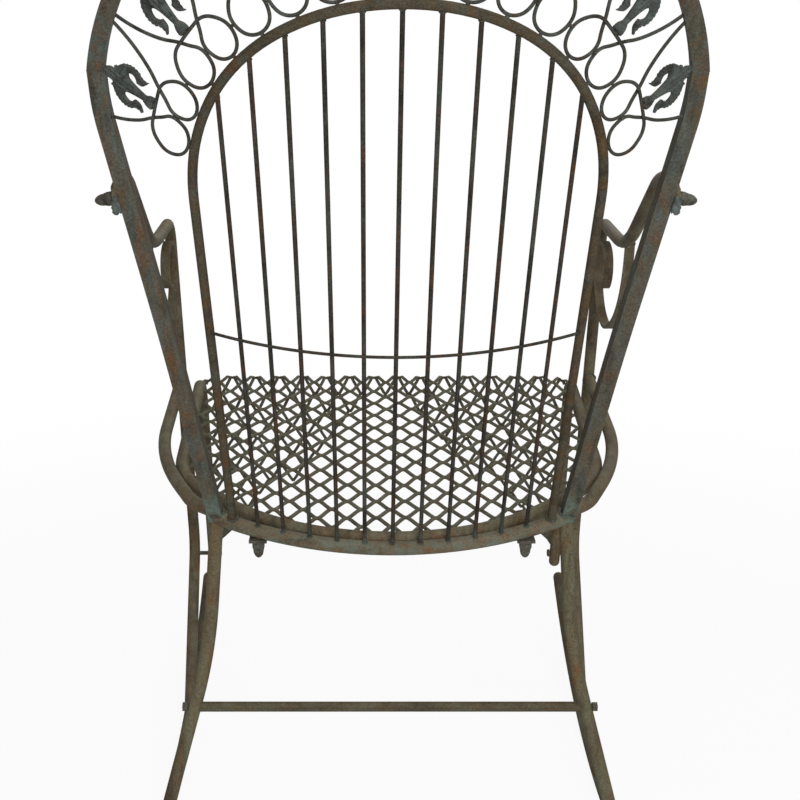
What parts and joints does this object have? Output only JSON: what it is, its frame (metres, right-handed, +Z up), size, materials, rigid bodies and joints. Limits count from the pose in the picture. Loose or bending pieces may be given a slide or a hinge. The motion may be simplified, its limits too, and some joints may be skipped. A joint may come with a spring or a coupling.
{
  "type": "rocking chair",
  "caption": "Iron rocking chair of bent tube with a high barrel back, a band of looped rods and cast lilies, scrolled arms and an expanded-metal seat.",
  "frame": {"origin": "on the floor, under the middle of the overall box", "axes": "+X to the sitter's right, +Y the way the sitter faces, +Z up"},
  "size_m": [0.6246, 0.8263, 1.1028],
  "materials": {
    "tube_frame": "weathered bronze patina with verdigris and rust",
    "thin_rod": "dark worn paint with rust spots",
    "cast_ornament": "rough grey-green cast iron",
    "expanded_metal": "olive-brown worn paint",
    "fasteners": "rusty brown"
  },
  "bodies": {
    "root": {"arm_acorn_nuts": "fasteners", "arm_studs": "fasteners", "back_acorn_nuts": "fasteners", "back_bottom_rail": "tube_frame", "back_rod_01": "thin_rod", "back_rod_02": "thin_rod", "back_rod_03": "thin_rod", "back_rod_04": "thin_rod", "back_rod_05": "thin_rod", "back_rod_06": "thin_rod", "back_rod_07": "thin_rod", "back_rod_08": "thin_rod", "back_rod_09": "thin_rod", "back_rod_10": "thin_rod", "back_rod_11": "thin_rod", "back_studs": "fasteners", "back_top_arch": "tube_frame", "inner_arch": "tube_frame", "left_apron": "expanded_metal", "left_arm": "tube_frame", "left_arm_scroll": "tube_frame", "left_rear_leg": "tube_frame", "left_rocker": "tube_frame", "left_side_bow": "tube_frame", "left_stile": "tube_frame", "lily_1": "cast_ornament", "lily_2": "cast_ornament", "lily_3": "cast_ornament", "lily_4": "cast_ornament", "lily_5": "cast_ornament", "lily_6": "cast_ornament", "lily_7": "cast_ornament", "lily_8": "cast_ornament", "loop_rod_1": "thin_rod", "loop_rod_2": "thin_rod", "loop_rod_3": "thin_rod", "loop_rod_4": "thin_rod", "loop_rod_5": "thin_rod", "loop_rod_6": "thin_rod", "loop_rod_7": "thin_rod", "loop_rod_8": "thin_rod", "lumbar_rod": "thin_rod", "rear_stretcher": "tube_frame", "right_apron": "expanded_metal", "right_arm": "tube_frame", "right_arm_scroll": "tube_frame", "right_rear_leg": "tube_frame", "right_rocker": "tube_frame", "right_side_bow": "tube_frame", "right_stile": "tube_frame", "seat_front_bolts": "fasteners", "seat_lugs": "fasteners", "seat_mesh": "expanded_metal", "seat_rim": "tube_frame", "stretcher_nuts": "fasteners"}
  },
  "joints": []
}
